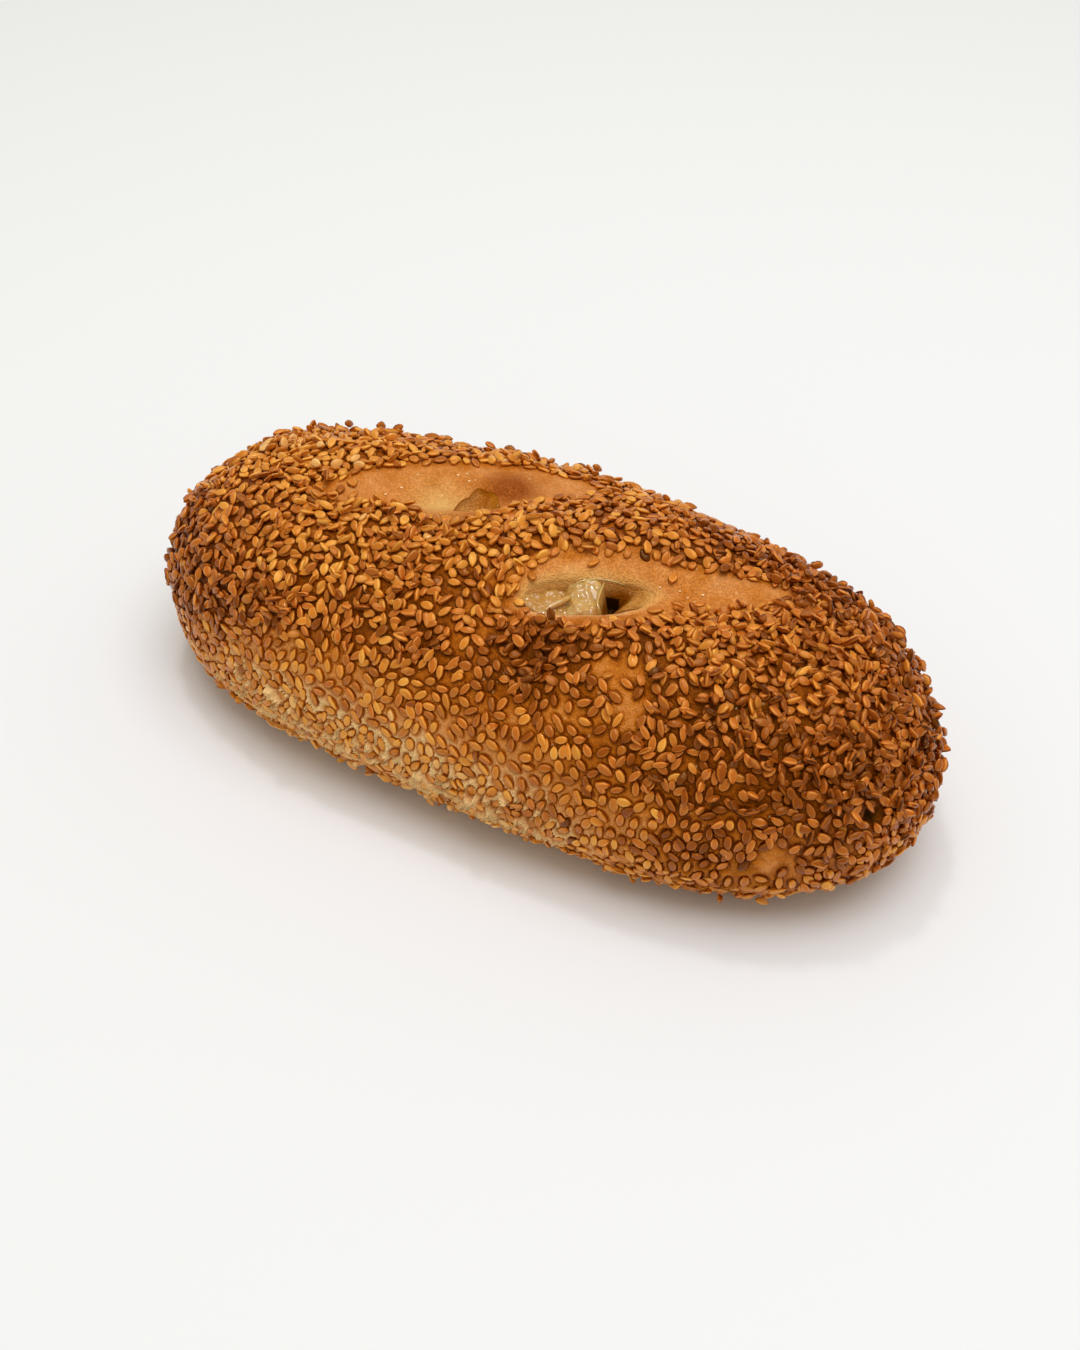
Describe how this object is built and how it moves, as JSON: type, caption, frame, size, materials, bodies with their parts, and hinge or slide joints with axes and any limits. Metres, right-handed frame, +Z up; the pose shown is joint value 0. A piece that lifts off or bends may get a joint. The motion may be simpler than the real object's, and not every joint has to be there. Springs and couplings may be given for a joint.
{
  "type": "loaf-shaped simit",
  "caption": "Oblong sesame-crusted bread with two slanting bare clefts along its top, each torn open into a small pocket of moist crumb.",
  "frame": {"origin": "middle of the loaf's footprint, on the surface that it stands on", "axes": "+X along the loaf towards its rounder end, -Y its front, where the clefts' short slopes are, +Z up"},
  "size_m": [0.1783, 0.0863, 0.0528],
  "materials": {
    "crust": "baked golden-tan bread crust, fine-pored, paler low on the sides",
    "crumb": "moist cream-coloured bread crumb with a wet gloss",
    "golden_sesame": "lightly baked golden sesame seeds, satin",
    "toasted_sesame": "toasted reddish-brown sesame seeds, satin"
  },
  "bodies": {
    "root": {"simit": "crust"}
  },
  "joints": []
}
